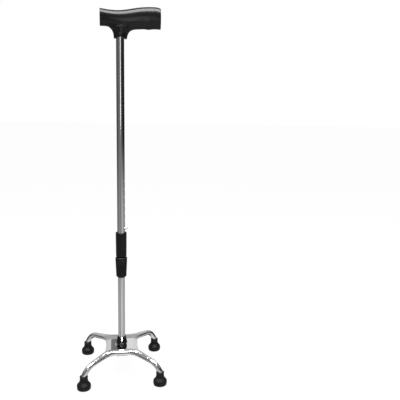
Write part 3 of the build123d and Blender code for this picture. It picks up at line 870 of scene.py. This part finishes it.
def notch_front(obj, low, high, front, back):
    """Cuts a V down the front of a collar, NOTCH_W wide at high and all but closed at low."""
    half = NOTCH_W / 2
    outline = ((-half, high), (half, high), (NOTCH_TIP, low), (-NOTCH_TIP, low))
    points = [(x, y, z) for y in (front, back) for x, z in outline]
    count = len(outline)
    faces = [tuple(range(count)), tuple(range(2 * count - 1, count - 1, -1))]
    faces += [(k, k + count, (k + 1) % count + count, (k + 1) % count) for k in range(count)]
    wedge = mesh_object("notch_cutter", points, faces, "grip_plastic")
    tidy_normals(wedge)
    cut_out = obj.modifiers.new("notch", "BOOLEAN")
    cut_out.operation = "DIFFERENCE"
    cut_out.solver = "EXACT"
    cut_out.object = wedge
    bpy.context.view_layer.update()
    shown_now = obj.evaluated_get(bpy.context.evaluated_depsgraph_get())
    shaped = bpy.data.meshes.new_from_object(shown_now)
    obj.modifiers.clear()
    obj.data = shaped
    bpy.data.objects.remove(wedge)
    tidy_normals(obj, EDGE_ANGLE)


def make_boot():
    """The collar round the tube's foot, with a V notch in front."""
    low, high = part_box("base_boot")
    bottom, top, wide = low.z / MM, high.z / MM, high.x / MM - BOOT_FIT
    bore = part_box("lower_tube")[1].x / MM + BOOT_FIT
    seat = bottom + BOSS_RISE + FIT
    profile = rounded([
        (bore, seat, 0), (10.6, seat, 1.0), (wide, seat + 3.4, 3.0), (wide - 0.5, seat + 8.0, 5.0),
        (11.6, top - 5.0, 4.0), (11.0, top - 1.0, 0.8), (10.4, top - FIT, 0.5),
        (bore + 0.2, top - 0.5, 0.3), (bore, top - 2.0, 0),
    ], 5)
    obj = revolved("tube_boot", profile, (0, 0), "grip_plastic")
    notch_front(obj, seat + 7.0, top + 1.0, -wide - 2.0, -bore + 3.0)
    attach(obj, "base")
    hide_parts("base_boot")


make_boot()

# ---- lock nut ------------------------------------------------------------------------------
KNURL_COUNT = 40
KNURL_DEPTH = 0.42
KNURL_LEAN = 0.075
KNURL_WIDTH = 0.45
NUT_TURNS, NUT_ROWS = 480, 150
NUT_FIT = 0.03
# Heights are up from the nut's bottom, and drops are down from its top.
NUT_LOW_R = 12.9
NUT_CONE_FROM, NUT_CONE = 4.0, 42.0
NUT_NOSE, NUT_NOSE_IN, NUT_NOSE_POWER = 5.0, 4.2, 2.2
NUT_RIM, NUT_RIM_IN = 1.6, 1.4
KNURL_FROM, KNURL_FADE_IN = 3.5, 2.5
KNURL_TOP_DROP, KNURL_FADE_OUT = 6.5, 1.0
GROOVE_DROPS, GROOVE_DEPTH = (-7.2, -6.2), 0.5
NUT_BORE_R, NUT_THREAD_R, NUT_SHELF = 11.45, 9.35, 8.4
NUT_ANGLE = 50


def clamped(value):
    return min(max(value, 0), 1)


def strips(start, rows, turns):
    """Faces between each column of rows points and the next, all the way round."""
    faces = []
    for k in range(turns):
        here, there = start + k * rows, start + (k + 1) % turns * rows
        for row in range(rows - 1):
            faces.append((here + row, there + row, there + row + 1, here + row + 1))
    return faces


def make_nut():
    """The lock nut with a fine diamond knurl between a plain top band and a rounded nose."""
    low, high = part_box("lock_nut")
    bottom, top, wide = low.z / MM, high.z / MM, high.x / MM - NUT_FIT
    tall = top - bottom
    rows = NUT_ROWS
    points, faces = [], []
    for k in range(NUT_TURNS):
        angle = 2 * math.pi * k / NUT_TURNS
        for share in np.linspace(0, 1, rows):
            z = bottom + share * tall
            up = z - bottom
            body = NUT_LOW_R + (wide - NUT_LOW_R) * clamped((up - NUT_CONE_FROM) / NUT_CONE)
            body -= NUT_NOSE_IN * (1 - min(up / NUT_NOSE, 1)) ** NUT_NOSE_POWER
            rim = max(0.0, up - tall + NUT_RIM)
            body -= NUT_RIM_IN * (rim / NUT_RIM) ** 2
            zone = clamped((up - KNURL_FROM) / KNURL_FADE_IN)
            zone *= clamped((tall - KNURL_TOP_DROP - up) / KNURL_FADE_OUT)
            first = abs(math.sin(KNURL_COUNT / 2 * (angle + KNURL_LEAN * up)))
            second = abs(math.sin(KNURL_COUNT / 2 * (angle - KNURL_LEAN * up)))
            groove = 1 - min(min(first, second) / KNURL_WIDTH, 1)
            band = GROOVE_DEPTH if GROOVE_DROPS[0] < up - tall < GROOVE_DROPS[1] else 0.0
            radius = body - zone * KNURL_DEPTH * groove - band
            points.append((radius * math.cos(angle), radius * math.sin(angle), z))
    base = len(points)
    shelf = bottom + NUT_SHELF
    inner = ((NUT_BORE_R, top), (NUT_BORE_R, shelf), (NUT_THREAD_R, shelf), (NUT_THREAD_R, bottom + FIT))
    points += turned(inner, NUT_TURNS)
    faces = strips(0, rows, NUT_TURNS) + strips(base, len(inner), NUT_TURNS)
    for k in range(NUT_TURNS):
        after = (k + 1) % NUT_TURNS
        here, there = base + k * len(inner), base + after * len(inner)
        outer_here, outer_there = k * rows, after * rows
        faces.append((outer_here + rows - 1, outer_there + rows - 1, there, here))
        faces.append((here + 3, there + 3, outer_there, outer_here))
    obj = mesh_object("knurled_nut", points, faces, "collar_plastic")
    tidy_normals(obj, NUT_ANGLE)
    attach(obj, "lock_nut")
    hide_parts("lock_nut")


make_nut()

# ---- leaf spring ---------------------------------------------------------------------------
SPRING_THICK = 0.6
SPRING_FIT = 0.02
SPRING_ANGLE = 40


def make_spring():
    """The V-shaped leaf spring behind the button, made in one fixed shape."""
    low, high = (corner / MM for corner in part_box("snap_spring"))
    half = SPRING_THICK / 2
    wall, arm = low.x + half, high.x - half
    route = [
        (arm, high.z), (arm, low.z + 32.0), (arm - 0.6, low.z + 28.0), (2.4, low.z + 2.4),
        (1.0, low.z + half), (-3.6, low.z + half), (-5.0, low.z + 2.2), (wall, low.z + 26.0),
        (wall, high.z),
    ]
    route = [Vector(point) for point in route]
    sides = []
    for k, here in enumerate(route):
        along = (route[min(k + 1, len(route) - 1)] - route[max(k - 1, 0)]).normalized()
        across = Vector((along.y, -along.x)) * half
        sides.append((here + across, here - across))
    edges = (low.y + SPRING_FIT, high.y - SPRING_FIT)
    points = [(p.x, y, p.y) for pair in sides for p in pair for y in edges]
    faces = [(0, 1, 3, 2), tuple(len(points) - 4 + k for k in (2, 3, 1, 0))]
    for k in range(len(route) - 1):
        here, there = 4 * k, 4 * k + 4
        for first, second in ((0, 1), (1, 3), (3, 2), (2, 0)):
            faces.append((here + first, there + first, there + second, here + second))
    obj = mesh_object("leaf_spring", points, faces, "spring_metal")
    tidy_normals(obj, SPRING_ANGLE)
    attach(obj, "base")
    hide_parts("snap_spring")
    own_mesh(obj)


make_spring()
